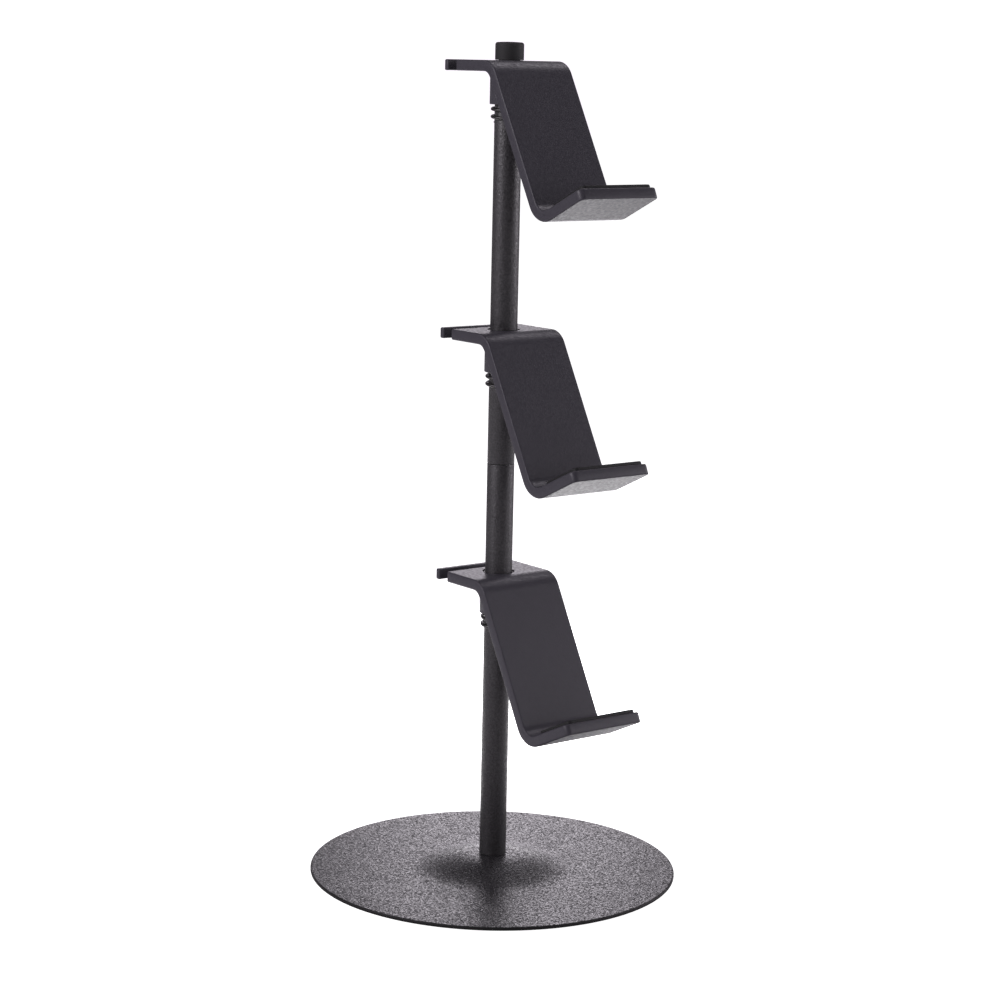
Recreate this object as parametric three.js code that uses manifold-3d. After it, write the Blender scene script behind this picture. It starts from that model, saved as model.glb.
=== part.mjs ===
// Three-tier device stand: a spun steel disc base, a two-piece tubular pole and three moulded
// J-shaped cradles. Each cradle turns round the pole on a split bush and rests on a wire spring
// clip, which grips the pole at any height. Millimetres, +Z up, origin at the bottom centre of
// the base. The cradles face -Y.

import * as THREE from 'three';
import { mergeVertices } from 'three/addons/utils/BufferGeometryUtils.js';
import Module from 'manifold-3d';

const wasm = await Module();
wasm.setup();

// ---- driving dimensions -------------------------------------------------------------------

const CLEARANCE = 0.1;            // gap left between stacked or nested fixed pieces
const ROUND_SIDES = 40;           // facets round the pole and the pieces on it

const BASE_RADIUS = 110;
const BASE_SHEET = 2;             // thickness of the steel sheet
const BASE_SIDES = 56;
const FOOT_HEIGHT = 0.8;          // foam ring that the base stands on
const FOOT_OUTER = 107;
const FOOT_INNER = 97;
const FOOT_GAP = 0.02;            // glue line between the ring and the sheet
const DOME_HEIGHT = 8.2;          // rise of the spun centre
const DOME_RADIUS = 49;
const DOME_FLAT = 11;             // flat seat for the pole
const DOME_STEPS = 9;
const RIM_ROUND = 0.7;

const POLE_RADIUS = 8;
const POLE_WALL = 1.2;
const POLE_SEAM = 250;            // height of the joint between the two tubes
const POLE_TOP = 483.65;
const SEAM_GAP = 0.25;
const INSERT_LENGTH = 20;
const CAP_TOP = 494;
const CAP_RADIUS = 8.3;
const CAP_ROUND = 1.5;
const CAP_SPIGOT = 12;

const THREAD_RADIUS = 4;          // M8 bolt and stud
const BOLT_HOLE = 4.3;
const HEAD_RADIUS = 7;
const HEAD_HEIGHT = 4.4;
const BOLT_SIDES = 28;
const WASHER_RADIUS = 9;
const WASHER_HEIGHT = 1.6;
const BOLT_REACH = 17;            // thread above the washer
const STUD_LENGTH = 32;

const CRADLE_WIDTH = 55;
const CRADLE_WALL = 6.3;
const SLANT = 29.2;               // back plate, degrees off vertical
const LIP_RISE = 25.2;            // lip, degrees above horizontal
const PLATE_FRONT = 19.6;         // pole axis to the sharp corner of the top bend
const PLATE_REAR = 26;            // pole axis to the back of the cable hook
const BACK_LENGTH = 95.5;         // front face of the back plate, between sharp corners
const LIP_LENGTH = 38.5;          // upper face of the lip, from the sharp corner to its end
const TOP_BEND = 13;              // outer radii of the two bends
const LOW_BEND = 14.5;
const BEND_STEPS = 6;
const CORNER_STEPS = 4;           // facets of the small round corners
const EDGE_ROUND = 0.8;
const LIP_ROUND = 1;
const LIP_CORNER = 3.5;
const HOOK_CORNER = 1.6;
const HOOK_DEPTH = 4;             // bar of the cable hook
const HOOK_SLOT = 7.5;
const HOOK_WEB = 7.5;             // solid end of the slot, at the +X side
const BORE_RADIUS = 9.3;
const COLLAR_RADIUS = 10.9;
const COLLAR_DROP = 25;           // collar end, below the plate's top face

const PAD_INSET = 3;
const PAD_HEIGHT = 1.9;
const PAD_START = 8.5;            // along the lip from the inner sharp corner
const PAD_END_GAP = 0.6;
const PAD_LIFT = 0.1;
const PAD_CORNER = 2.5;
const PAD_ROUND = 0.5;

const BUSH_INNER = 8.15;
const BUSH_OUTER = 8.7;
const BUSH_RECESS = 0.4;          // below the plate's top face
const BUSH_TAPER = 0.3;
const BUSH_SIDES = 36;
const BUSH_SPLIT = 1.5;

const WIRE_RADIUS = 1;
const WIRE_SIDES = 6;
const COIL_RADIUS = 9.2;          // centre line of the wire
const COIL_PITCH = 4.4;
const COIL_START = 35;            // bearings of the two ears, degrees from +X
const COIL_TURNS = 2.11;
const COIL_STEPS = 20;            // per turn
const COIL_GAP = 0.2;             // below the collar
const EAR_LENGTH = 11;

// Height of each cradle's top face, in rest order from the top down.
const TIERS = { top: 483.5, middle: 329, bottom: 185 };

const BASE_TOP = FOOT_HEIGHT + BASE_SHEET;
const POLE_FOOT = BASE_TOP + DOME_HEIGHT + CLEARANCE;
const TUBE_BORE = POLE_RADIUS - POLE_WALL;
const INSERT_RADIUS = TUBE_BORE - CLEARANCE;

// ---- materials ----------------------------------------------------------------------------

const finish = (color, roughness, metalness) =>
  new THREE.MeshStandardMaterial({ color, roughness, metalness });

const FINISH = {
  powder: finish(0x2c2b2e, 0.55, 0.35),
  moulded: finish(0x343238, 0.5, 0),
  cap: finish(0x29292a, 0.35, 0),
  rubber: finish(0x222224, 0.85, 0),
  nylon: finish(0x1d1d1f, 0.45, 0),
  wire: finish(0x17171a, 0.4, 0.8),
  steel: finish(0x8e9094, 0.35, 1),
  foam: finish(0x1a1a1a, 0.95, 0),
};

// ---- helpers ------------------------------------------------------------------------------

const radians = THREE.MathUtils.degToRad;

// Unit vector on a page at a bearing in degrees.
const heading = (degrees) => new THREE.Vector2(Math.cos(radians(degrees)), Math.sin(radians(degrees)));

// Geometry with shared corners and nothing but position left.
function weld(geometry) {
  geometry.deleteAttribute('normal');
  geometry.deleteAttribute('uv');
  return mergeVertices(geometry, 1e-4);
}

function signedVolume(geometry) {
  const place = geometry.getAttribute('position');
  const index = geometry.getIndex();
  const corner = [new THREE.Vector3(), new THREE.Vector3(), new THREE.Vector3()];
  let total = 0;
  for (let i = 0; i < index.count; i += 3) {
    corner.forEach((point, k) => point.fromBufferAttribute(place, index.getX(i + k)));
    total += corner[0].dot(corner[1].cross(corner[2])) / 6;
  }
  return total;
}

// Closed geometry whose faces all point out.
function closed(geometry) {
  const body = weld(geometry);
  if (signedVolume(body) < 0) {
    const index = body.getIndex();
    for (let i = 0; i < index.count; i += 3) {
      const first = index.getX(i);
      index.setX(i, index.getX(i + 1));
      index.setX(i + 1, first);
    }
  }
  return body;
}

function toSolid(geometry) {
  const body = closed(geometry);
  return new wasm.Manifold(new wasm.Mesh({
    numProp: 3,
    vertProperties: Float32Array.from(body.getAttribute('position').array),
    triVerts: Uint32Array.from(body.getIndex().array),
  }));
}

function fromSolid(solid) {
  const mesh = solid.getMesh();
  const geometry = new THREE.BufferGeometry();
  geometry.setAttribute('position', new THREE.BufferAttribute(mesh.vertProperties, 3));
  geometry.setIndex(new THREE.BufferAttribute(mesh.triVerts, 1));
  return geometry;
}

// Turned piece about +Z from [radius, height] points. A ring's outline ends where it starts.
function turned(points, sides = ROUND_SIDES) {
  const outline = points.map(([r, z]) => new THREE.Vector2(r, z));
  return closed(new THREE.LatheGeometry(outline, sides).rotateX(Math.PI / 2));
}

function tube(inner, outer, low, high, sides = ROUND_SIDES) {
  return turned([[inner, low], [outer, low], [outer, high], [inner, high], [inner, low]], sides);
}

function rod(radius, low, high, sides = ROUND_SIDES) {
  return turned([[0, low], [radius, low], [radius, high], [0, high]], sides);
}

// Closed outline through sharp corners [x, y, radius], each rounded by an arc.
function roundedOutline(corners, steps = BEND_STEPS) {
  const points = [];
  corners.forEach(([x, y, radius], i) => {
    const corner = new THREE.Vector2(x, y);
    const before = corners[(i + corners.length - 1) % corners.length];
    const after = corners[(i + 1) % corners.length];
    const back = new THREE.Vector2(before[0], before[1]).sub(corner).normalize();
    const ahead = new THREE.Vector2(after[0], after[1]).sub(corner).normalize();
    if (!radius) {
      points.push(corner);
      return;
    }
    const half = Math.acos(THREE.MathUtils.clamp(back.dot(ahead), -1, 1)) / 2;
    const middle = back.clone().add(ahead).normalize();
    const centre = corner.clone().addScaledVector(middle, radius / Math.sin(half));
    const side = Math.sign(back.cross(ahead));
    const sweep = Math.PI - 2 * half;
    for (let k = 0; k <= steps; k += 1) {
      const turn = side * sweep * (0.5 - k / steps);
      const spoke = middle.clone().multiplyScalar(-radius).rotateAround(new THREE.Vector2(), turn);
      points.push(spoke.add(centre));
    }
  });
  return new THREE.Shape(points);
}

// Prism of an outline, centred on its depth, with softened rims.
function prism(outline, depth, round = 0) {
  const geometry = new THREE.ExtrudeGeometry(outline, {
    depth: depth - 2 * round,
    bevelEnabled: round > 0,
    bevelThickness: round,
    bevelSize: round,
    bevelOffset: -round,
    bevelSegments: 2,
  });
  return geometry.translate(0, 0, round - depth / 2);
}

// ---- base and pole ------------------------------------------------------------------------

// Rise of the spun sheet at a radius: a flat seat, a smooth bell, then the flat disc.
function domeRise(radius) {
  const t = THREE.MathUtils.clamp((radius - DOME_FLAT) / (DOME_RADIUS - DOME_FLAT), 0, 1);
  return DOME_HEIGHT * 0.5 * (1 + Math.cos(Math.PI * t));
}

function basePlate() {
  const radii = [BOLT_HOLE];
  for (let i = 0; i <= DOME_STEPS; i += 1) {
    radii.push(DOME_FLAT + (DOME_RADIUS - DOME_FLAT) * i / DOME_STEPS);
  }
  const under = radii.map((r) => [r, FOOT_HEIGHT + domeRise(r)]);
  const upper = radii.map((r) => [r, BASE_TOP + domeRise(r)]).reverse();
  const rim = [
    [BASE_RADIUS, FOOT_HEIGHT],
    [BASE_RADIUS, BASE_TOP - RIM_ROUND],
    [BASE_RADIUS - RIM_ROUND * 0.3, BASE_TOP - RIM_ROUND * 0.3],
    [BASE_RADIUS - RIM_ROUND, BASE_TOP],
  ];
  return turned([...under, ...rim, ...upper, under[0]], BASE_SIDES);
}

const baseFootRing = () => tube(FOOT_INNER, FOOT_OUTER, 0, FOOT_HEIGHT - FOOT_GAP, BASE_SIDES);

const SEAT_UNDERSIDE = FOOT_HEIGHT + DOME_HEIGHT;
const WASHER_TOP = SEAT_UNDERSIDE - CLEARANCE;
const WASHER_UNDERSIDE = WASHER_TOP - WASHER_HEIGHT;

const baseWasher = () => tube(BOLT_HOLE, WASHER_RADIUS, WASHER_UNDERSIDE, WASHER_TOP, BOLT_SIDES);

function baseBolt() {
  const headTop = WASHER_UNDERSIDE - CLEARANCE;
  const headLow = headTop - HEAD_HEIGHT;
  return turned([
    [0, headLow],
    [HEAD_RADIUS * 0.6, headLow],
    [HEAD_RADIUS * 0.88, headLow + HEAD_HEIGHT * 0.4],
    [HEAD_RADIUS, headTop - 0.6],
    [HEAD_RADIUS, headTop],
    [THREAD_RADIUS, headTop],
    [THREAD_RADIUS, WASHER_TOP + BOLT_REACH],
    [0, WASHER_TOP + BOLT_REACH],
  ], BOLT_SIDES);
}

// Threaded plug pressed into the end of a tube.
const insert = (low) => tube(THREAD_RADIUS + CLEARANCE, INSERT_RADIUS, low, low + INSERT_LENGTH);

const pole = (low, high) => tube(TUBE_BORE, POLE_RADIUS, low, high);

function jointStud() {
  const half = STUD_LENGTH / 2;
  return rod(THREAD_RADIUS, POLE_SEAM - half, POLE_SEAM + half, BOLT_SIDES);
}

function topCap() {
  const shoulder = POLE_TOP + CLEARANCE;
  const rounding = [0, 0.5, 1].map((t) => {
    const edge = heading(90 * t).multiplyScalar(CAP_ROUND);
    return [CAP_RADIUS - CAP_ROUND + edge.x, CAP_TOP - CAP_ROUND + edge.y];
  });
  return turned([
    [0, shoulder - CAP_SPIGOT],
    [INSERT_RADIUS, shoulder - CAP_SPIGOT],
    [INSERT_RADIUS, shoulder],
    [CAP_RADIUS, shoulder],
    ...rounding,
    [0, CAP_TOP],
  ]);
}

// ---- cradle -------------------------------------------------------------------------------

// Cradle outlines are drawn on a page: forward from the pole axis, and up from the plate's top.
// Turning a page on edge sends forward to -Y, up to +Z and its depth across the cradle.
const PAGE_TO_CRADLE = new THREE.Matrix4().makeBasis(
  new THREE.Vector3(0, -1, 0),
  new THREE.Vector3(0, 0, 1),
  new THREE.Vector3(-1, 0, 0),
);

const DOWN_BACK = heading(SLANT - 90);                    // along the back plate
const ALONG_LIP = heading(LIP_RISE);
const LIP_NORMAL = heading(LIP_RISE + 90);

const TOP_CORNER = new THREE.Vector2(PLATE_FRONT, 0);
const LOW_CORNER = TOP_CORNER.clone().addScaledVector(DOWN_BACK, BACK_LENGTH);
const LIP_END = LOW_CORNER.clone().addScaledVector(ALONG_LIP, LIP_LENGTH);

// Where the two faces of a bend meet once both are moved by a distance towards its inside.
function offsetCorner(corner, incoming, outgoing, distance) {
  const bisector = outgoing.clone().sub(incoming).normalize();
  const half = Math.acos(-incoming.dot(outgoing)) / 2;
  return corner.clone().addScaledVector(bisector, distance / Math.sin(half));
}

function cradleProfile() {
  const underTop = offsetCorner(TOP_CORNER, heading(0), DOWN_BACK, CRADLE_WALL);
  const underLow = offsetCorner(LOW_CORNER, DOWN_BACK, ALONG_LIP, -CRADLE_WALL);
  const underEnd = LIP_END.clone().addScaledVector(LIP_NORMAL, -CRADLE_WALL);
  return roundedOutline([
    [-PLATE_REAR, -CRADLE_WALL, 0],
    [underTop.x, underTop.y, TOP_BEND - CRADLE_WALL],
    [underLow.x, underLow.y, LOW_BEND],
    [underEnd.x, underEnd.y, LIP_ROUND],
    [LIP_END.x, LIP_END.y, LIP_ROUND],
    [LOW_CORNER.x, LOW_CORNER.y, LOW_BEND - CRADLE_WALL],
    [TOP_CORNER.x, TOP_CORNER.y, TOP_BEND],
    [-PLATE_REAR, 0, 0],
  ]);
}

// Everything inside this upright prism is kept, which rounds the corners seen from above.
function cradlePlan() {
  const half = CRADLE_WIDTH / 2;
  const front = LIP_END.x + CRADLE_WALL * Math.sin(radians(LIP_RISE));
  const outline = roundedOutline([
    [-half, -front, LIP_CORNER],
    [half, -front, LIP_CORNER],
    [half, PLATE_REAR, HOOK_CORNER],
    [-half, PLATE_REAR, HOOK_CORNER],
  ], CORNER_STEPS);
  return prism(outline, 4 * BACK_LENGTH);
}

// Slot between the plate and the hook bar, open at the -X side.
function hookSlot() {
  const slotRear = PLATE_REAR - HOOK_DEPTH;
  const slotFront = slotRear - HOOK_SLOT;
  const closedEnd = CRADLE_WIDTH / 2 - HOOK_WEB;
  const outline = roundedOutline([
    [-CRADLE_WIDTH, slotFront, 0],
    [closedEnd, slotFront, HOOK_SLOT / 3],
    [closedEnd, slotRear, HOOK_SLOT / 3],
    [-CRADLE_WIDTH, slotRear, 0],
  ], CORNER_STEPS);
  return prism(outline, 4 * CRADLE_WALL);
}

function cradle() {
  const bent = prism(cradleProfile(), CRADLE_WIDTH, EDGE_ROUND).applyMatrix4(PAGE_TO_CRADLE);
  const collar = rod(COLLAR_RADIUS, -COLLAR_DROP, -CRADLE_WALL / 2);
  const bore = rod(BORE_RADIUS, -2 * COLLAR_DROP, COLLAR_DROP);
  const solid = toSolid(bent)
    .intersect(toSolid(cradlePlan()))
    .subtract(toSolid(hookSlot()))
    .add(toSolid(collar))
    .subtract(toSolid(bore));
  return fromSolid(solid);
}

// Rubber pad on the lip, drawn flat on the page as length by width and then laid on the lip.
function lipPad() {
  const length = LIP_LENGTH - PAD_START - PAD_END_GAP;
  const half = CRADLE_WIDTH / 2 - PAD_INSET;
  const outline = roundedOutline([
    [0, -half, PAD_CORNER],
    [length, -half, PAD_CORNER],
    [length, half, PAD_CORNER],
    [0, half, PAD_CORNER],
  ], CORNER_STEPS);
  const start = LOW_CORNER.clone()
    .addScaledVector(ALONG_LIP, PAD_START)
    .addScaledVector(LIP_NORMAL, PAD_LIFT + PAD_HEIGHT / 2);
  const along = new THREE.Vector3(0, -ALONG_LIP.x, ALONG_LIP.y);
  const normal = new THREE.Vector3(0, -LIP_NORMAL.x, LIP_NORMAL.y);
  const across = normal.clone().cross(along);
  const place = new THREE.Matrix4()
    .makeBasis(along, across, normal)
    .setPosition(0, -start.x, start.y);
  return closed(prism(outline, PAD_HEIGHT, PAD_ROUND).applyMatrix4(place));
}

// Split sleeve between the cradle's bore and the pole.
function poleBush() {
  const low = -COLLAR_DROP;
  const high = -BUSH_RECESS;
  const sleeve = turned([
    [BUSH_INNER, low],
    [BUSH_OUTER, low],
    [BUSH_OUTER, high - BUSH_TAPER],
    [BUSH_OUTER - BUSH_TAPER, high],
    [BUSH_INNER, high],
    [BUSH_INNER, low],
  ], BUSH_SIDES);
  const split = new THREE.BoxGeometry(BUSH_SPLIT, BUSH_OUTER, 3 * COLLAR_DROP).translate(0, BUSH_OUTER, 0);
  return fromSolid(toSolid(sleeve).subtract(toSolid(split)));
}

// ---- spring clip --------------------------------------------------------------------------

// Centre line of the clip's wire: a coil round the pole whose two ends turn out into ears.
class ClipCurve extends THREE.Curve {
  getPoint(t, target = new THREE.Vector3()) {
    const coil = 2 * Math.PI * COIL_TURNS * COIL_RADIUS;
    const along = t * (coil + 2 * EAR_LENGTH);
    const onCoil = THREE.MathUtils.clamp(along - EAR_LENGTH, 0, coil);
    const turn = radians(COIL_START) + onCoil / COIL_RADIUS;
    const past = Math.max(EAR_LENGTH - along, along - EAR_LENGTH - coil, 0);
    const radius = COIL_RADIUS + past;
    const start = -COLLAR_DROP - COIL_GAP - WIRE_RADIUS;
    const drop = COIL_PITCH * onCoil / (2 * Math.PI * COIL_RADIUS);
    return target.set(radius * Math.cos(turn), radius * Math.sin(turn), start - drop);
  }
}

function springClip() {
  const section = new THREE.Shape();
  for (let i = 0; i < WIRE_SIDES; i += 1) {
    const point = heading(360 * i / WIRE_SIDES).multiplyScalar(WIRE_RADIUS);
    if (i === 0) {
      section.moveTo(point.x, point.y);
    } else {
      section.lineTo(point.x, point.y);
    }
  }
  const coilShare = 1 + 2 * EAR_LENGTH / (2 * Math.PI * COIL_TURNS * COIL_RADIUS);
  const steps = Math.round(COIL_TURNS * COIL_STEPS * coilShare);
  const wire = { steps, extrudePath: new ClipCurve(), bevelEnabled: false };
  return closed(new THREE.ExtrudeGeometry(section, wire));
}

// ---- assembly -----------------------------------------------------------------------------

function piece(name, geometry, material) {
  const mesh = new THREE.Mesh(geometry, material);
  mesh.name = name;
  return mesh;
}

function standGroup() {
  const lowerTop = POLE_SEAM - SEAM_GAP / 2;
  const upperFoot = POLE_SEAM + SEAM_GAP / 2;
  return new THREE.Group().add(
    piece('base_foot_ring', baseFootRing(), FINISH.foam),
    piece('base_plate', basePlate(), FINISH.powder),
    piece('base_washer', baseWasher(), FINISH.steel),
    piece('base_bolt', baseBolt(), FINISH.steel),
    piece('pole_foot_insert', insert(POLE_FOOT), FINISH.steel),
    piece('lower_pole', pole(POLE_FOOT, lowerTop), FINISH.powder),
    piece('lower_pole_insert', insert(lowerTop - INSERT_LENGTH), FINISH.steel),
    piece('pole_joint_stud', jointStud(), FINISH.steel),
    piece('upper_pole_insert', insert(upperFoot), FINISH.steel),
    piece('upper_pole', pole(upperFoot, POLE_TOP), FINISH.powder),
    piece('top_cap', topCap(), FINISH.cap),
  );
}

function tierGroup(tier, height) {
  const group = new THREE.Group().add(
    piece(`${tier}_cradle`, cradle(), FINISH.moulded),
    piece(`${tier}_lip_pad`, lipPad(), FINISH.rubber),
    piece(`${tier}_pole_bush`, poleBush(), FINISH.nylon),
    piece(`${tier}_spring_clip`, springClip(), FINISH.wire),
  );
  group.position.z = height;
  return group;
}

const stand = new THREE.Group();
stand.add(standGroup());
for (const [tier, height] of Object.entries(TIERS)) {
  stand.add(tierGroup(tier, height));
}

export default stand;
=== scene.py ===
"""Looks of a three-tier device stand: a disc base, a two-piece pole and three J-shaped cradles.

Metres, +Z up, the cradles face -Y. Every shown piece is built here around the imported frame.
"""

import math

import bmesh
import bpy
from mathutils import Matrix, Vector


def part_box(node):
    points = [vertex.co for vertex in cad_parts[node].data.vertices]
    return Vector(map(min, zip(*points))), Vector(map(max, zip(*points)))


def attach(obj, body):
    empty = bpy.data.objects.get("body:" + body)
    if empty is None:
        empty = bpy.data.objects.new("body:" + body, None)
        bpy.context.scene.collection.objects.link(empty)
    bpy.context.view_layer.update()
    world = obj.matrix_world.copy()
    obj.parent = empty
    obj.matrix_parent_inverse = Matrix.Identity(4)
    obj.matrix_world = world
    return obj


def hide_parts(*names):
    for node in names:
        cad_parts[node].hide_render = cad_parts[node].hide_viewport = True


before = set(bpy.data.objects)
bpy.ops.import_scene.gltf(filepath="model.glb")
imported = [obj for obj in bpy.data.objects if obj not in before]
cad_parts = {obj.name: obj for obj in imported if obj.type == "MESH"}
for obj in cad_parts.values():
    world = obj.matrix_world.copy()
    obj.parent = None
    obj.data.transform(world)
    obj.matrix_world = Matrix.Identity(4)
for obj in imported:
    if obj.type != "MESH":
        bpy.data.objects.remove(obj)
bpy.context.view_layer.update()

MM = 0.001

# ---- sizes ----------------------------------------------------------------------------------

TIERS = ("top", "middle", "bottom")
TIER_HEIGHT = {tier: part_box(f"{tier}_cradle")[1].z for tier in TIERS}

ROUND_SIDES = 96
BASE_SIDES = 240
BORE_SIDES = 72
WIRE_SIDES = 14

POLE_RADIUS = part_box("lower_pole")[1].x
TUBE_WALL = 1.2 * MM
TUBE_BORE = POLE_RADIUS - TUBE_WALL
TUBE_CHAMFER = 0.25 * MM

BASE_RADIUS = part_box("base_plate")[1].x
BASE_SHEET = 2.0 * MM
BASE_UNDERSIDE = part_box("base_plate")[0].z
DOME_RADIUS = 49 * MM
DOME_FLAT = 11 * MM
DOME_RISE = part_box("base_plate")[1].z - BASE_UNDERSIDE - BASE_SHEET
RIM_ROUND = 0.85 * MM
RIM_UNDER_ROUND = 0.3 * MM
BOLT_HOLE = 4.3 * MM
FOOT_RING_WIDTH = 10 * MM
HARDWARE_EDGE = 0.2 * MM

BOLT_SOCKET = 2.5 * MM
BOLT_SOCKET_DEPTH = 2.4 * MM
BOLT_SOCKET_CHAMFER = 0.15 * MM
BOLT_FACE = 3.3 * MM
BOLT_FACE_EDGE = 0.3 * MM
BOLT_HEAD_EDGE = 0.6 * MM
BOLT_HEAD_CHAMFER = 0.1 * MM
BOLT_GAP = 0.1 * MM
BOLT_SHANK = 4.0 * MM
BOLT_PLAIN = 1.0 * MM
THREAD_PITCH = 1.25 * MM
THREAD_DEPTH = 0.6 * MM

CAP_GAP = 0.1 * MM
CAP_ROUND = 1.5 * MM
CAP_CROWN = 0.25 * MM
RIB_DEPTH = 0.5 * MM
RIB_PITCH = 2.4 * MM
RIB_CREST = 0.8 * MM
RIB_ROOT = 2.2 * MM

WALL = 6.3 * MM
HALF_WIDTH = 27.5 * MM
PLATE_REAR = 26 * MM
SLANT = math.radians(29.2)
LIP_RISE = math.radians(25.2)
PLATE_FRONT = 19.6 * MM
BACK_LENGTH = 95.5 * MM
LIP_LENGTH = 38.5 * MM
TOP_BEND = 13 * MM
LOW_BEND = 8.2 * MM
EDGE_ROUND = 0.85 * MM
SLOT_WIDTH = 7.5 * MM
SLOT_BEHIND = 4 * MM  # plate left behind the cable slot
SLOT_BESIDE = 7.5 * MM  # plate left beside its closed end
SLOT_MOUTH_CORNER = 1.3 * MM
SLOT_END_CORNER = 2.5 * MM
REAR_CORNER = 1.7 * MM
LIP_CORNER = 3.5 * MM
BORE_RADIUS = 9.3 * MM
BORE_ROUND = 0.5 * MM
# Rows of vertices this far beside a rounding or a bend keep its shading off the flat face.
EDGE_GUARD = 0.35 * MM
BORE_GUARD = 0.3 * MM
FOLD_GUARD = 0.6 * MM
COLLAR_RADIUS = 10.9 * MM
COLLAR_DROP = 25 * MM
COLLAR_FILLET = 0.95 * MM
COLLAR_EDGE = 0.45 * MM

PAD_START = 8.5 * MM
PAD_INSET = 3 * MM
PAD_HEIGHT = 1.9 * MM
PAD_END_GAP = 0.6 * MM
PAD_LIFT = 0.1 * MM
PAD_CORNER = 2.8 * MM
PAD_EDGE = 0.6 * MM
PAD_UNDER_EDGE = 0.1 * MM
BEAD_INSET = (1.4 * MM, 1.7 * MM)
BEAD_FIELD = 2.3 * MM
BEAD_DROP = 0.15 * MM

BUSH_INNER = 8.15 * MM
BUSH_OUTER = 8.7 * MM
BUSH_RECESS = 0.4 * MM
BUSH_SPLIT = 1.5 * MM
BUSH_EDGES = (0.2 * MM, 0.2 * MM, 0.25 * MM, 0.1 * MM)  # from its lower inner edge round

WIRE_RADIUS = 1.0 * MM
COIL_RADIUS = 9.2 * MM
COIL_PITCH = 4.4 * MM
COIL_START = math.radians(35)
COIL_TURNS = 2.11
COIL_STEPS = 120
CLIP_GAP = 0.2 * MM
EAR_LENGTH = 11 * MM
EAR_BEND = 2.2 * MM
WIRE_DOME = (0.0, 0.5, 0.9, 1.25)  # angles of the rows in a wire's domed end

# ---- studio ---------------------------------------------------------------------------------

CAMERA_AZIMUTH = math.radians(-37.23)
CAMERA_DISTANCE = 1.4387
CAMERA_HEIGHT = 0.4833
CAMERA_PITCH = math.radians(10.107)
CAMERA_ROLL = math.radians(1.23)
FOCAL_PIXELS = 2473.4
IMAGE_HEIGHT = 1003  # the image's longer side, which the sensor's width spans
SENSOR_WIDTH = 36
AWAY = Vector((-math.sin(CAMERA_AZIMUTH), math.cos(CAMERA_AZIMUTH), 0))  # level, past the object
RIGHT = Vector((math.cos(CAMERA_AZIMUTH), math.sin(CAMERA_AZIMUTH), 0))

# The surroundings light the object dimly, and more from behind it. The camera sees them white.
SKY_FRONT = 0.22
SKY_BACK = 0.6
SKY_TURN = (0.7, 0.98)
SKY_TOP = 0.08
SKY_FADE = (0.15, 0.95)
SKY_SEEN = 1.1
LIGHT_TINT = (1.0, 0.94, 1.02)

FLOOR_HALF = 12
POOL_CENTRE = 0.42
POOL_EDGE = (0.05, 0.5)
POOL_STRENGTH = 2.6

# Area lights: place, target, width, height and power. "crest" makes the highlight on the top
# cradle's upper bend, "overhead" keeps the view from above legible, and "backdrop" is a card low
# behind the object that is mirrored in the faces seen at a shallow angle.
CENTRE = (0, 0, 0.35)
BACKDROP_HEIGHT = 0.26
BACKDROP_PLACE = AWAY * 0.75 + RIGHT * 0.015 + Vector((0, 0, BACKDROP_HEIGHT))
LIGHTS = {
    "left": ((-2.0, 0.3, 1.2), CENTRE, 1.6, 1.1, 34),
    "right": ((1.95, -0.75, 0.6), CENTRE, 1.1, 0.9, 14),
    "fill": ((1.2, -1.9, 0.8), CENTRE, 1.2, 1.2, 9),
    "crest": ((1.1, 0.36, 1.85), (0, 0, 0.45), 0.7, 0.7, 5),
    "overhead": ((0, 0, 2.0), (0, 0, 0), 1.1, 1.1, 4.5),
    "backdrop": (BACKDROP_PLACE, (0, 0, BACKDROP_HEIGHT), 0.28, 0.48, 0.96),
}


# ---- mesh helpers ---------------------------------------------------------------------------

def add_to_scene(item):
    bpy.context.scene.collection.objects.link(item)


def finish_mesh(bm, name, smooth_below=35):
    """A mesh object of bm, smooth except where two faces meet more sharply than smooth_below."""
    bmesh.ops.recalc_face_normals(bm, faces=bm.faces)
    limit = math.radians(smooth_below)
    for face in bm.faces:
        face.smooth = True
    for edge in bm.edges:
        edge.smooth = edge.is_manifold and edge.calc_face_angle(0) < limit
    mesh = bpy.data.meshes.new(name)
    bm.to_mesh(mesh)
    bm.free()
    piece = bpy.data.objects.new(name, mesh)
    add_to_scene(piece)
    return piece


def bridge(bm, rows):
    """Quads between each closed row of vertices and the next one, all of the same length."""
    for row_a, row_b in zip(rows, rows[1:]):
        for i, vert in enumerate(row_a):
            j = (i + 1) % len(row_a)
            bm.faces.new((vert, row_a[j], row_b[j], row_b[i]))


def close_ends(bm, rows):
    """A flat face on the first and on the last row of vertices."""
    bm.faces.new(rows[0])
    bm.faces.new(rows[-1])


def arc(centre, radius, start, end, steps):
    """Points on an arc, angles in degrees."""
    points = []
    for k in range(steps + 1):
        angle = math.radians(start + (end - start) * k / steps)
        points.append((centre[0] + radius * math.cos(angle), centre[1] + radius * math.sin(angle)))
    return points


def soften(corners, steps):
    """A closed outline through corners (x, y, radius), with each corner rounded by an arc."""
    points = []
    for i, (x, y, radius) in enumerate(corners):
        here = Vector((x, y))
        back = (Vector(corners[i - 1][:2]) - here).normalized()
        ahead = (Vector(corners[(i + 1) % len(corners)][:2]) - here).normalized()
        if radius <= 0:
            points.append((x, y))
            continue
        half = back.angle(ahead) / 2
        middle = (back + ahead).normalized()
        centre = here + middle * (radius / math.sin(half))
        side = 1 if back.x * ahead.y - back.y * ahead.x > 0 else -1
        sweep = math.pi - 2 * half
        for k in range(steps + 1):
            turn = side * sweep * (0.5 - k / steps)
            spoke = Matrix.Rotation(turn, 2) @ (-middle * radius)
            points.append(tuple(centre + spoke))
    return points


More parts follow.
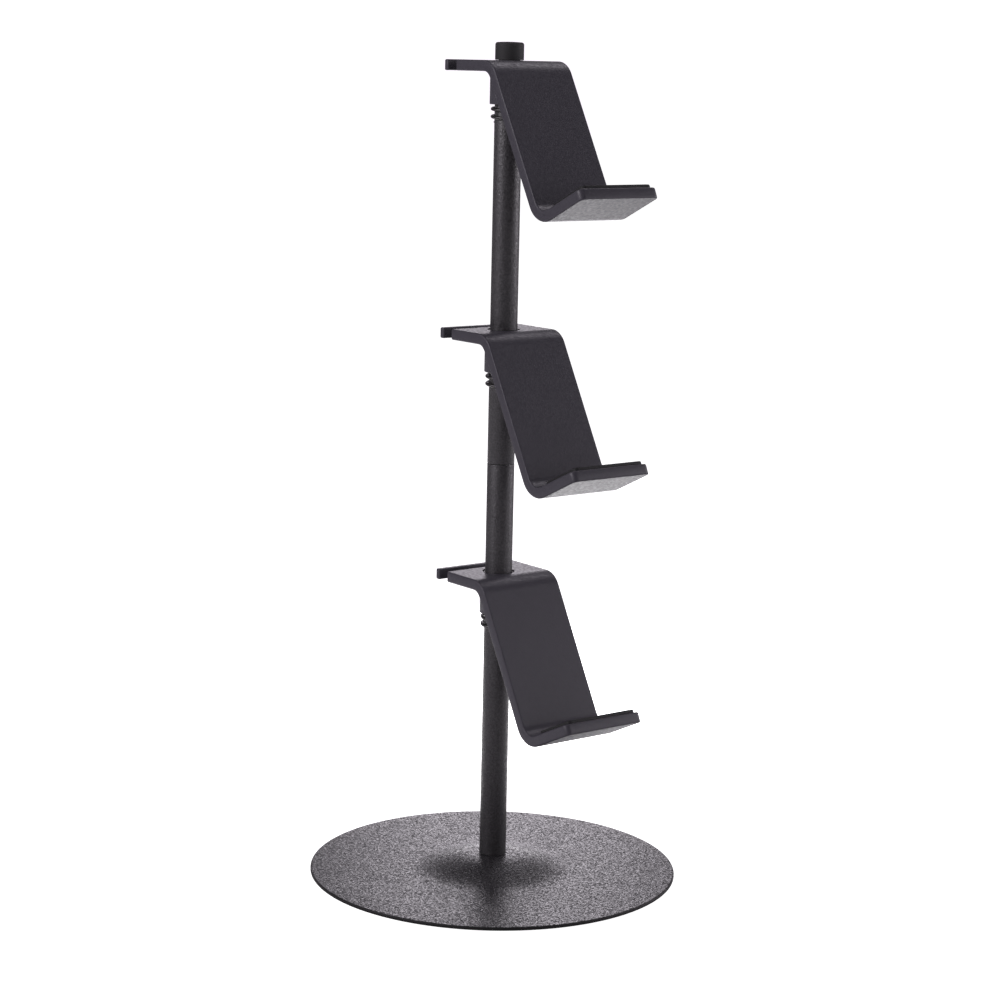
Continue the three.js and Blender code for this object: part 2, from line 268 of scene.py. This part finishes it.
def inset(corners, depth):
    """The corners of an anticlockwise outline moved inwards, with radii that keep the arcs parallel."""
    moved = []
    for i, (x, y, radius) in enumerate(corners):
        here = Vector((x, y))
        before = (here - Vector(corners[i - 1][:2])).normalized()
        after = (Vector(corners[(i + 1) % len(corners)][:2]) - here).normalized()
        turn = before.x * after.y - before.y * after.x
        normals = Vector((-before.y, before.x)) + Vector((-after.y, after.x))
        scale = depth / (1 + before.dot(after))
        point = here + normals * scale
        moved.append((point.x, point.y, radius - depth if turn > 0 else radius + depth))
    return moved


def turned(name, outline, sides=ROUND_SIDES, sweep=(0.0, 360.0)):
    """A solid turned about the Z axis from (radius, height) points. A ring's outline is a closed loop;
    a solid's runs from axis to axis. A sweep under 360 degrees gives a split ring with flat ends."""
    bm = bmesh.new()
    full = sweep[1] - sweep[0] >= 360
    count = sides if full else sides + 1
    rows = []
    for r, z in outline:
        if r < 1e-9:
            rows.append([bm.verts.new((0, 0, z))] * count)
            continue
        row = []
        for k in range(count):
            angle = math.radians(sweep[0] + (sweep[1] - sweep[0]) * k / sides)
            row.append(bm.verts.new((r * math.cos(angle), r * math.sin(angle), z)))
        rows.append(row)
    solid = outline[0][0] < 1e-9
    pairs = list(zip(rows, rows[1:]))
    if not solid:
        pairs.append((rows[-1], rows[0]))
    for low, high in pairs:
        for k in range(sides):
            j = (k + 1) % count
            corners = []
            for vert in (low[k], low[j], high[j], high[k]):
                if vert not in corners:
                    corners.append(vert)
            if len(corners) > 2:
                bm.faces.new(corners)
    if not full:
        bm.faces.new([row[0] for row in rows])
        bm.faces.new([row[-1] for row in reversed(rows)])
    return finish_mesh(bm, name)


def ring_outline(inner, outer, low, high, edge):
    """The closed section of a ring with its four edges rounded."""
    corners = [(inner, low, edge), (outer, low, edge), (outer, high, edge), (inner, high, edge)]
    return soften(corners, 3)


def place(piece, body, material, node):
    """The piece takes a material, rides on a body and stands for a CAD node."""
    piece.data.materials.append(material)
    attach(piece, body)
    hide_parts(node)


# ---- materials ------------------------------------------------------------------------------

def map_range(tree, output, low, high, to_low, to_high):
    node = tree.nodes.new("ShaderNodeMapRange")
    node.inputs["From Min"].default_value = low
    node.inputs["From Max"].default_value = high
    node.inputs["To Min"].default_value = to_low
    node.inputs["To Max"].default_value = to_high
    tree.links.new(output, node.inputs["Value"])
    return node


class Shader:
    """A node material with one principled shader and short calls for the nodes round it."""

    def __init__(self, name, roughness, metallic=0.0, ior=1.38):
        self.material = bpy.data.materials.new(name)
        self.material.use_nodes = True
        self.tree = self.material.node_tree
        self.shader = self.tree.nodes["Principled BSDF"]
        self.put("Roughness", roughness)
        self.put("Metallic", metallic)
        self.put("IOR", ior)
        self.coordinates = self.tree.nodes.new("ShaderNodeTexCoord").outputs["Object"]

    def put(self, socket, value):
        self.shader.inputs[socket].default_value = value

    def link(self, output, socket):
        self.tree.links.new(output, self.shader.inputs[socket])

    def noise(self, scale, detail=2.0, rough=0.5):
        node = self.tree.nodes.new("ShaderNodeTexNoise")
        node.inputs["Scale"].default_value = scale
        node.inputs["Detail"].default_value = detail
        node.inputs["Roughness"].default_value = rough
        self.tree.links.new(self.coordinates, node.inputs["Vector"])
        return node.outputs["Fac"]

    def cells(self, scale):
        """One random value for each grain of a surface."""
        node = self.tree.nodes.new("ShaderNodeTexVoronoi")
        node.inputs["Scale"].default_value = scale
        self.tree.links.new(self.coordinates, node.inputs["Vector"])
        return node.outputs["Color"]

    def remap(self, output, low, high, to_low, to_high):
        return map_range(self.tree, output, low, high, to_low, to_high).outputs["Result"]

    def tint(self, output, dark, light):
        node = self.tree.nodes.new("ShaderNodeValToRGB")
        node.color_ramp.elements[0].color = (*dark, 1)
        node.color_ramp.elements[1].color = (*light, 1)
        self.tree.links.new(output, node.inputs["Fac"])
        return node.outputs["Color"]

    def bump(self, output, distance, below=None):
        node = self.tree.nodes.new("ShaderNodeBump")
        node.inputs["Strength"].default_value = 1.0
        node.inputs["Distance"].default_value = distance
        self.tree.links.new(output, node.inputs["Height"])
        if below:
            self.tree.links.new(below, node.inputs["Normal"])
        return node.outputs["Normal"]


def powder_coat(name, grain, depth, dark, light, roughness):
    """Sand-texture black powder coat: grains of about 1/grain metres on a wavy skin. Each grain has a
    roughness of its own, between the two given."""
    s = Shader(name, 0.4, ior=1.5)
    grains = s.noise(grain, 2.0, 0.6)
    s.link(s.tint(s.remap(grains, 0.35, 0.7, 0, 1), dark, light), "Base Color")
    s.link(s.remap(s.cells(grain), 0.2, 0.8, *roughness), "Roughness")
    wavy = s.bump(s.noise(grain * 0.5, 2.0), depth)
    s.link(s.bump(grains, depth, below=wavy), "Normal")
    return s.material


def moulded_plastic(name, dark, light, roughness, grain=2600, depth=0.02 * MM, spread=0.05):
    """Satin moulded plastic: a fine spark-eroded texture, and a faint broad change of tone."""
    s = Shader(name, roughness)
    s.link(s.tint(s.noise(35, 3.0), dark, light), "Base Color")
    sheen = s.remap(s.noise(grain * 0.6, 3.0), 0.35, 0.65, roughness - spread, roughness + spread)
    s.link(sheen, "Roughness")
    s.link(s.bump(s.noise(grain, 2.0), depth), "Normal")
    return s.material


def soft_rubber(name):
    s = Shader(name, 0.62)
    s.link(s.tint(s.noise(300, 3.0), (0.007, 0.007, 0.0075), (0.011, 0.011, 0.0115)), "Base Color")
    s.link(s.bump(s.noise(3500, 2.0), 0.03 * MM), "Normal")
    return s.material


def spring_steel(name):
    """Black-oxide wire with faint drawing marks."""
    s = Shader(name, 0.38, metallic=0.85)
    s.link(s.tint(s.noise(900, 3.0), (0.03, 0.03, 0.033), (0.075, 0.073, 0.07)), "Base Color")
    s.link(s.bump(s.noise(2500, 2.0), 0.01 * MM), "Normal")
    return s.material


def zinc_steel(name):
    s = Shader(name, 0.3, metallic=1.0)
    s.link(s.tint(s.noise(400, 4.0), (0.42, 0.43, 0.45), (0.62, 0.62, 0.6)), "Base Color")
    s.link(s.remap(s.noise(700, 3.0), 0.3, 0.7, 0.24, 0.42), "Roughness")
    s.link(s.bump(s.noise(1800, 2.0), 0.01 * MM), "Normal")
    return s.material


def foam(name):
    s = Shader(name, 0.95)
    s.link(s.tint(s.noise(1800, 2.0), (0.008, 0.008, 0.008), (0.022, 0.022, 0.022)), "Base Color")
    s.link(s.bump(s.noise(2200, 3.0), 0.12 * MM), "Normal")
    return s.material


def plain_floor(name):
    """Pale floor with a soft round pool of light behind the object."""
    s = Shader(name, 0.9)
    s.put("Base Color", (0.82, 0.82, 0.82, 1))
    s.put("Emission Color", (1, 1, 1, 1))
    reach = s.tree.nodes.new("ShaderNodeVectorMath")
    reach.operation = "DISTANCE"
    reach.inputs[1].default_value = AWAY * POOL_CENTRE
    s.tree.links.new(s.coordinates, reach.inputs[0])
    pool = s.remap(reach.outputs["Value"], *POOL_EDGE, POOL_STRENGTH, 0)
    seen = s.tree.nodes.new("ShaderNodeMath")
    seen.operation = "MAXIMUM"
    s.tree.links.new(s.tree.nodes.new("ShaderNodeLightPath").outputs["Is Camera Ray"], seen.inputs[0])
    s.tree.links.new(pool, seen.inputs[1])
    s.link(seen.outputs["Value"], "Emission Strength")
    return s.material


BASE_COAT = powder_coat(
    "base_sand_coat", grain=1250, depth=0.2 * MM,
    dark=(0.004, 0.004, 0.005), light=(0.028, 0.026, 0.029), roughness=(0.12, 0.66))
# Painted shade: a near-black material for the base's rim faces, standing in for the dark they show
# under this light.
RIM_PAINTED_SHADE = moulded_plastic(
    "base_rim_painted_shade", (0.002, 0.002, 0.002), (0.004, 0.004, 0.004), 0.6)
POLE_COAT = powder_coat(
    "pole_sand_coat", grain=1000, depth=0.15 * MM,
    dark=(0.018, 0.0174, 0.0183), light=(0.043, 0.0415, 0.0437), roughness=(0.28, 0.55))
CRADLE = moulded_plastic(
    "cradle_plastic", (0.040, 0.038, 0.0465), (0.045, 0.043, 0.052), 0.42,
    grain=1000, depth=0.07 * MM, spread=0.08)
CAP = moulded_plastic(
    "cap_plastic", (0.021, 0.021, 0.0212), (0.024, 0.024, 0.0242), 0.68,
    grain=3500, depth=0.008 * MM)
NYLON = moulded_plastic(
    "bush_nylon", (0.010, 0.010, 0.011), (0.014, 0.014, 0.015), 0.42)
RUBBER = soft_rubber("pad_rubber")
WIRE = spring_steel("spring_wire")
ZINC = zinc_steel("zinc_steel")
FOAM = foam("foot_foam")


# ---- base and pole --------------------------------------------------------------------------

def dome_rise(radius):
    t = min(max((radius - DOME_FLAT) / (DOME_RADIUS - DOME_FLAT), 0), 1)
    return DOME_RISE * 0.5 * (1 + math.cos(math.pi * t))


def make_base_plate():
    """One spun sheet: a flat seat, a smooth bell and a flat disc with a rounded rim."""
    dome_steps = 40
    radii = [DOME_FLAT + (DOME_RADIUS - DOME_FLAT) * k / dome_steps for k in range(dome_steps + 1)]
    radii = [BOLT_HOLE, DOME_FLAT * 0.8] + radii + [DOME_RADIUS * 1.15, BASE_RADIUS * 0.9]
    top = BASE_UNDERSIDE + BASE_SHEET
    under = [(r, BASE_UNDERSIDE + dome_rise(r)) for r in radii]
    upper = [(r, top + dome_rise(r)) for r in reversed(radii)]
    low_centre = (BASE_RADIUS - RIM_UNDER_ROUND, BASE_UNDERSIDE + RIM_UNDER_ROUND)
    rim = arc(low_centre, RIM_UNDER_ROUND, -90, 0, 3)
    rim += arc((BASE_RADIUS - RIM_ROUND, top - RIM_ROUND), RIM_ROUND, 0, 90, 6)
    guard = [(BASE_RADIUS - 1.6 * RIM_ROUND, top)]
    plate = turned("base_disc", under + rim + guard + upper, BASE_SIDES)
    place(plate, "stand", BASE_COAT, "base_plate")
    # The rim's outer faces take the near-black painted shade.
    plate.data.materials.append(RIM_PAINTED_SHADE)
    for face in plate.data.polygons:
        if face.center.xy.length > BASE_RADIUS - RIM_ROUND * 0.5:
            face.material_index = 1


def make_foot_ring():
    low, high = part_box("base_foot_ring")
    outline = ring_outline(high.x - FOOT_RING_WIDTH, high.x, low.z, high.z, HARDWARE_EDGE)
    place(turned("foam_foot", outline, BASE_SIDES), "stand", FOAM, "base_foot_ring")


def make_washer():
    low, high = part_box("base_washer")
    outline = ring_outline(BOLT_HOLE, high.x, low.z, high.z, HARDWARE_EDGE)
    place(turned("base_flat_washer", outline, 64), "stand", ZINC, "base_washer")


def make_bolt():
    """Button-head bolt seen from below, with a hexagon socket and a threaded shank."""
    low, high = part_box("base_bolt")
    head = high.x
    head_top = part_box("base_washer")[0].z - BOLT_GAP
    bm = bmesh.new()

    def hexagon(angle):
        return BOLT_SOCKET / math.cos(angle % math.radians(60) - math.radians(30))

    def row(radius, z):
        """A row of vertices. Its radius is a number, or a function of the angle."""
        made = []
        for k in range(ROUND_SIDES):
            angle = math.radians(360 * k / ROUND_SIDES)
            r = radius(angle) if callable(radius) else radius
            made.append(bm.verts.new((r * math.cos(angle), r * math.sin(angle), z)))
        return made

    rows = [
        row(hexagon, low.z + BOLT_SOCKET_DEPTH),
        row(hexagon, low.z + BOLT_SOCKET_CHAMFER),
        row(BOLT_FACE, low.z),
    ]
    crown = arc((0, 0), 1, -63, -4, 8)
    inner = BOLT_FACE + BOLT_FACE_EDGE
    upper = head_top - BOLT_HEAD_EDGE
    for x, y in crown:
        share = (x - crown[0][0]) / (crown[-1][0] - crown[0][0])
        drop = (y - crown[-1][1]) / (crown[0][1] - crown[-1][1])
        rows.append(row(inner + (head - inner) * share, upper - (upper - low.z) * drop))
    rows.append(row(head, head_top - BOLT_HEAD_CHAMFER))
    rows.append(row(head - BOLT_HEAD_CHAMFER, head_top))
    rows.append(row(BOLT_SHANK, head_top))
    z = head_top + BOLT_PLAIN
    while z < high.z - THREAD_PITCH:
        rows.append(row(BOLT_SHANK, z))
        rows.append(row(BOLT_SHANK - THREAD_DEPTH, z + THREAD_PITCH / 2))
        z += THREAD_PITCH
    rows.append(row(BOLT_SHANK - THREAD_DEPTH, high.z))
    bridge(bm, rows)
    close_ends(bm, rows)
    place(finish_mesh(bm, "base_socket_bolt", 28), "stand", ZINC, "base_bolt")


def make_tube(name, node):
    low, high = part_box(node)
    outline = ring_outline(TUBE_BORE, POLE_RADIUS, low.z, high.z, TUBE_CHAMFER)
    place(turned(name, outline), "stand", POLE_COAT, node)


def make_cap():
    """Push-in cap: a ribbed spigot inside the tube and a smooth head with a barely domed top."""
    low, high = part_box("top_cap")
    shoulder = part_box("upper_pole")[1].z + CAP_GAP
    crest = TUBE_BORE - CAP_GAP
    root = crest - RIB_DEPTH
    outline = [(0, low.z), (root - 0.1 * MM, low.z)]
    z = low.z
    while z < shoulder - 3 * MM:
        outline += [(crest, z + RIB_CREST), (root, z + RIB_ROOT)]
        z += RIB_PITCH
    outline += [(root, shoulder), (high.x - 0.1 * MM, shoulder), (high.x, shoulder + 0.1 * MM)]
    flat = high.x - CAP_ROUND
    outline += arc((flat, high.z - CAP_ROUND - CAP_CROWN), CAP_ROUND, 0, 90, 8)
    for k in range(1, 7):
        share = k / 6
        outline.append((flat * (1 - share), high.z - CAP_CROWN * (1 - share) ** 2))
    place(turned("pole_end_cap", outline), "stand", CAP, "top_cap")


# ---- cradle ---------------------------------------------------------------------------------
# A cradle is drawn flat, as a sheet with rounded edges, and then folded. Flat coordinates are the
# distance across, the distance along the upper face from the pole axis, and the height above it.

BEND_ONE = math.pi / 2 - SLANT
BEND_TWO = BEND_ONE + LIP_RISE
TRIM_ONE = TOP_BEND * math.tan(BEND_ONE / 2)
TRIM_TWO = LOW_BEND * math.tan(BEND_TWO / 2)
FOLD_1 = PLATE_FRONT - TRIM_ONE
FOLD_2 = FOLD_1 + TOP_BEND * BEND_ONE
FOLD_3 = FOLD_2 + BACK_LENGTH - TRIM_ONE - TRIM_TWO
FOLD_4 = FOLD_3 + LOW_BEND * BEND_TWO
LIP_TIP = FOLD_4 + LIP_LENGTH - TRIM_TWO


def direction(angle):
    return Vector((math.cos(angle), math.sin(angle)))


def fold(along, height):
    """Where a point of the flat sheet lies once folded, as (forward, up) from the plate's top."""
    centre_one = Vector((FOLD_1, -TOP_BEND))
    back = direction(-BEND_ONE)
    back_normal = direction(math.pi / 2 - BEND_ONE)
    corner_two = centre_one + back_normal * TOP_BEND
    corner_three = corner_two + back * (FOLD_3 - FOLD_2)
    centre_two = corner_three + back_normal * LOW_BEND
    lip = direction(LIP_RISE)
    lip_normal = direction(math.pi / 2 + LIP_RISE)
    if along <= FOLD_1:
        return Vector((along, height))
    if along <= FOLD_2:
        turn = (along - FOLD_1) / TOP_BEND
        return centre_one + direction(math.pi / 2 - turn) * (TOP_BEND + height)
    if along <= FOLD_3:
        return corner_two + back * (along - FOLD_2) + back_normal * height
    if along <= FOLD_4:
        turn = (along - FOLD_3) / LOW_BEND
        return centre_two - direction(math.pi / 2 - BEND_ONE + turn) * (LOW_BEND - height)
    return centre_two - lip_normal * (LOW_BEND - height) + lip * (along - FOLD_4)


def cradle_outline():
    """The flat sheet seen from above, anticlockwise: across, along, corner radius."""
    slot_rear = SLOT_BEHIND - PLATE_REAR
    slot_front = slot_rear + SLOT_WIDTH
    slot_end = HALF_WIDTH - SLOT_BESIDE
    return [
        (-HALF_WIDTH, slot_front, SLOT_MOUTH_CORNER),
        (slot_end, slot_front, SLOT_END_CORNER),
        (slot_end, slot_rear, SLOT_END_CORNER),
        (-HALF_WIDTH, slot_rear, SLOT_MOUTH_CORNER),
        (-HALF_WIDTH, -PLATE_REAR, REAR_CORNER),
        (HALF_WIDTH, -PLATE_REAR, REAR_CORNER),
        (HALF_WIDTH, LIP_TIP, LIP_CORNER),
        (-HALF_WIDTH, LIP_TIP, LIP_CORNER),
    ]


def edge_rounding():
    """Rounding of a sheet's edge from its upper face: (inset, depth below the face)."""
    steps = 4
    angles = [math.pi / 2 * k / steps for k in range(steps + 1)]
    return [(EDGE_ROUND * (1 - math.sin(a)), EDGE_ROUND * (1 - math.cos(a))) for a in angles]


def outline_row(bm, corners, depth, z):
    """A row of vertices at height z, round an outline moved inwards by depth."""
    return [bm.verts.new((x, y, z)) for x, y in soften(inset(corners, depth), 8)]


def bore_outline():
    """The bore and its collar from the upper face to the lower one: (radius, height)."""
    section = [(BORE_RADIUS + BORE_ROUND + BORE_GUARD, 0)]
    section += [(BORE_RADIUS + BORE_ROUND * (1 + x), BORE_ROUND * (y - 1))
                for x, y in arc((0, 0), 1, 90, 180, 4)]
    section += soften([
        (BORE_RADIUS, -WALL, 0),
        (BORE_RADIUS, -COLLAR_DROP, COLLAR_EDGE),
        (COLLAR_RADIUS, -COLLAR_DROP, COLLAR_EDGE),
        (COLLAR_RADIUS, -WALL, 0),
    ], 4)[1:-1]
    section += [(COLLAR_RADIUS + COLLAR_FILLET * (1 + x), COLLAR_FILLET * (y - 1) - WALL)
                for x, y in arc((0, 0), 1, 180, 90, 5)]
    return section


def fold_lines():
    """Where the flat sheet is cut across, so that its two bends come out round."""
    lines = [FOLD_1 - FOLD_GUARD, FOLD_2 + FOLD_GUARD, FOLD_3 - FOLD_GUARD, FOLD_4 + FOLD_GUARD]
    lines += [FOLD_1 + (FOLD_2 - FOLD_1) * k / 18 for k in range(19)]
    lines += [FOLD_3 + (FOLD_4 - FOLD_3) * k / 26 for k in range(27)]
    return lines


def fold_and_finish(bm, name, tier):
    """The flat mesh folded, and made an object at its tier's height."""
    for vert in bm.verts:
        across, along, height = vert.co
        forward, up = fold(along, height)
        vert.co = (across, -forward, up)
    piece = finish_mesh(bm, name, 40)
    piece.location.z = TIER_HEIGHT[tier]
    return piece


def make_cradle(tier):
    bm = bmesh.new()
    corners = cradle_outline()
    flat = EDGE_ROUND + EDGE_GUARD
    sheet = [(flat, 0)] + [(depth, -drop) for depth, drop in edge_rounding()]
    sheet += [(depth, drop - WALL) for depth, drop in reversed(edge_rounding())] + [(flat, -WALL)]
    outer = [outline_row(bm, corners, depth, z) for depth, z in sheet]
    bridge(bm, outer)

    bore = []
    for radius, z in bore_outline():
        points = arc((0, 0), radius, 0, 360 * (BORE_SIDES - 1) / BORE_SIDES, BORE_SIDES - 1)
        bore.append([bm.verts.new((x, y, z)) for x, y in points])
    bridge(bm, bore)

    for rims in ((outer[0], bore[0]), (outer[-1], bore[-1])):
        edges = [bm.edges.get((row[i], row[i - 1])) for row in rims for i in range(len(row))]
        bmesh.ops.triangle_fill(bm, use_beauty=True, use_dissolve=False, edges=edges)

    for along in fold_lines():
        everything = bm.verts[:] + bm.edges[:] + bm.faces[:]
        bmesh.ops.bisect_plane(
            bm, geom=everything, dist=1e-7, plane_co=(0, along, 0), plane_no=(0, 1, 0))
    piece = fold_and_finish(bm, f"{tier}_tray", tier)
    place(piece, f"{tier}_tray", CRADLE, f"{tier}_cradle")


def make_pad(tier):
    """Rubber pad on the lip: rounded corners and edges, and a raised bead round its upper face."""
    first = FOLD_4 + PAD_START - TRIM_TWO
    last = LIP_TIP - PAD_END_GAP
    half = HALF_WIDTH - PAD_INSET
    ends = ((-half, first), (half, first), (half, last), (-half, last))
    corners = [(x, y, PAD_CORNER) for x, y in ends]
    low, high = PAD_LIFT, PAD_LIFT + PAD_HEIGHT
    field = high - BEAD_DROP
    section = [(PAD_UNDER_EDGE, low), (0, low + PAD_UNDER_EDGE)]
    section += arc((PAD_EDGE, high - PAD_EDGE), PAD_EDGE, 180, 90, 5)
    section += [(BEAD_INSET[0], high), (BEAD_INSET[1], field), (BEAD_FIELD, field)]
    bm = bmesh.new()
    rows = [outline_row(bm, corners, depth, z) for depth, z in section]
    bridge(bm, rows)
    close_ends(bm, rows)
    piece = fold_and_finish(bm, f"{tier}_rubber_pad", tier)
    place(piece, f"{tier}_tray", RUBBER, f"{tier}_lip_pad")


def make_bush(tier):
    """Split sleeve, with its slit at the rear and a thin upper edge just inside the bore."""
    low = -COLLAR_DROP
    high = -BUSH_RECESS
    ends = ((BUSH_INNER, low), (BUSH_OUTER, low), (BUSH_OUTER, high), (BUSH_INNER, high))
    outline = soften([(r, z, edge) for (r, z), edge in zip(ends, BUSH_EDGES)], 3)
    gap = math.degrees(BUSH_SPLIT / 2 / BUSH_OUTER)
    piece = turned(f"{tier}_split_bush", outline, 90, (90 + gap, 450 - gap))
    piece.location.z = TIER_HEIGHT[tier]
    place(piece, f"{tier}_tray", NYLON, f"{tier}_pole_bush")


# ---- spring clip ----------------------------------------------------------------------------

def ear_route(angle, sign, z):
    """One ear from its tip to the coil, which leaves it in the direction of sign."""
    out = Vector((math.cos(angle), math.sin(angle), 0))
    side = Vector((-math.sin(angle), math.cos(angle), 0)) * sign
    route = [out * (COIL_RADIUS + EAR_LENGTH * (1 - k / 6) + EAR_BEND * k / 6) for k in range(7)]
    centre = out * (COIL_RADIUS + EAR_BEND) + side * EAR_BEND
    for k in range(1, 6):
        turn = math.pi / 2 * k / 6
        route.append(centre - side * EAR_BEND * math.cos(turn) - out * EAR_BEND * math.sin(turn))
    return [point + Vector((0, 0, z)) for point in route]


def clip_route():
    """Centre line of the clip's wire: an ear, a bend, the coil, a bend and the other ear."""
    start = -COLLAR_DROP - CLIP_GAP - WIRE_RADIUS
    sweep = 2 * math.pi * COIL_TURNS
    trim = EAR_BEND / COIL_RADIUS
    points = ear_route(COIL_START, 1, start)
    for k in range(COIL_STEPS + 1):
        angle = trim + (sweep - 2 * trim) * k / COIL_STEPS
        z = start - COIL_PITCH * angle / (2 * math.pi)
        turn = COIL_START + angle
        points.append(Vector((COIL_RADIUS * math.cos(turn), COIL_RADIUS * math.sin(turn), z)))
    points += reversed(ear_route(COIL_START + sweep, -1, start - COIL_PITCH * COIL_TURNS))
    return points


def sweep_round(name, route, radius):
    """A round rod along a route, with domed ends."""
    bm = bmesh.new()
    rows = []
    side = None
    last = len(route) - 1
    for i, point in enumerate(route):
        tangent = (route[min(i + 1, last)] - route[max(i - 1, 0)]).normalized()
        if side is None:
            side = tangent.cross(Vector((0, 0, 1))).normalized()
        side = (side - tangent * side.dot(tangent)).normalized()
        other = tangent.cross(side)
        stations = [0.0]
        if i == 0:
            stations = [-a for a in reversed(WIRE_DOME)]
        if i == last:
            stations = WIRE_DOME
        for station in stations:
            centre = point + tangent * (radius * math.sin(station))
            r = radius * math.cos(station)
            row = []
            for k in range(WIRE_SIDES):
                a = 2 * math.pi * k / WIRE_SIDES
                row.append(bm.verts.new(centre + (side * math.cos(a) + other * math.sin(a)) * r))
            rows.append(row)
    bridge(bm, rows)
    close_ends(bm, rows)
    return finish_mesh(bm, name, 50)


def make_clip(tier):
    piece = sweep_round(f"{tier}_wire_clip", clip_route(), WIRE_RADIUS)
    piece.location.z = TIER_HEIGHT[tier]
    place(piece, f"{tier}_clip", WIRE, f"{tier}_spring_clip")


# ---- camera, floor and light ----------------------------------------------------------------

def make_camera():
    """The photograph's viewpoint: from the front left, level with the top tier, slightly rolled."""
    data = bpy.data.cameras.new("camera")
    data.sensor_width = SENSOR_WIDTH
    data.lens = SENSOR_WIDTH * FOCAL_PIXELS / IMAGE_HEIGHT
    data.clip_end = 50
    camera = bpy.data.objects.new("camera", data)
    add_to_scene(camera)
    ahead = AWAY * math.cos(CAMERA_PITCH) - Vector((0, 0, math.sin(CAMERA_PITCH)))
    up = RIGHT.cross(ahead)
    rolled_right = RIGHT * math.cos(CAMERA_ROLL) + up * math.sin(CAMERA_ROLL)
    rolled_up = up * math.cos(CAMERA_ROLL) - RIGHT * math.sin(CAMERA_ROLL)
    turn = Matrix((rolled_right, rolled_up, -ahead)).transposed().to_4x4()
    place_at = Vector((0, 0, CAMERA_HEIGHT)) - AWAY * CAMERA_DISTANCE
    camera.matrix_world = Matrix.Translation(place_at) @ turn
    bpy.context.scene.camera = camera


def make_floor():
    mesh = bpy.data.meshes.new("floor")
    signs = ((-1, -1), (1, -1), (1, 1), (-1, 1))
    mesh.from_pydata([(x * FLOOR_HALF, y * FLOOR_HALF, 0) for x, y in signs], [], [(0, 1, 2, 3)])
    floor = bpy.data.objects.new("floor", mesh)
    add_to_scene(floor)
    mesh.materials.append(plain_floor("pale_floor"))


def make_area_light(name, place_at, target, width, height, power):
    data = bpy.data.lights.new(name, "AREA")
    data.shape = "RECTANGLE"
    data.size = width
    data.size_y = height
    data.energy = power
    data.color = LIGHT_TINT
    light = bpy.data.objects.new(name, data)
    light.location = place_at
    light.rotation_mode = "QUATERNION"
    light.rotation_quaternion = (Vector(target) - Vector(place_at)).to_track_quat("-Z", "Y")
    add_to_scene(light)


def make_world():
    """Dim surroundings, brighter low down behind the object, that the camera sees as white."""
    world = bpy.data.worlds.new("studio")
    bpy.context.scene.world = world
    world.use_nodes = True
    tree = world.node_tree
    towards = tree.nodes.new("ShaderNodeTexCoord").outputs["Generated"]

    def dot(axis):
        node = tree.nodes.new("ShaderNodeVectorMath")
        node.operation = "DOT_PRODUCT"
        node.inputs[1].default_value = axis
        tree.links.new(towards, node.inputs[0])
        return node.outputs["Value"]

    def ramp(value, low, high, to_low, to_high):
        node = map_range(tree, value, low, high, to_low, to_high)
        node.interpolation_type = "SMOOTHSTEP"
        return node.outputs["Result"]

    def combine(operation, a, b):
        node = tree.nodes.new("ShaderNodeMath")
        node.operation = operation
        tree.links.new(a, node.inputs[0])
        tree.links.new(b, node.inputs[1])
        return node.outputs["Value"]

    behind = ramp(dot(AWAY), *SKY_TURN, SKY_FRONT, SKY_BACK)
    height = ramp(dot((0, 0, 1)), *SKY_FADE, 1, SKY_TOP)
    camera_ray = tree.nodes.new("ShaderNodeLightPath").outputs["Is Camera Ray"]
    seen = ramp(camera_ray, 0, 1, 0, SKY_SEEN)
    background = tree.nodes["Background"]
    strength = combine("MAXIMUM", combine("MULTIPLY", behind, height), seen)
    tree.links.new(strength, background.inputs["Strength"])
    background.inputs["Color"].default_value = (*LIGHT_TINT, 1)


# ---- build ----------------------------------------------------------------------------------

make_camera()
make_floor()
make_world()
for name, light in LIGHTS.items():
    make_area_light(name, *light)
bpy.context.scene.view_settings.view_transform = "Standard"

make_base_plate()
make_foot_ring()
make_washer()
make_bolt()
make_tube("lower_tube", "lower_pole")
make_tube("upper_tube", "upper_pole")
make_cap()
for tier in TIERS:
    make_cradle(tier)
    make_pad(tier)
    make_bush(tier)
    make_clip(tier)

for node in ("pole_foot_insert", "lower_pole_insert", "pole_joint_stud", "upper_pole_insert"):
    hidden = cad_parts[node]
    hidden.data.materials.clear()
    hidden.data.materials.append(ZINC)
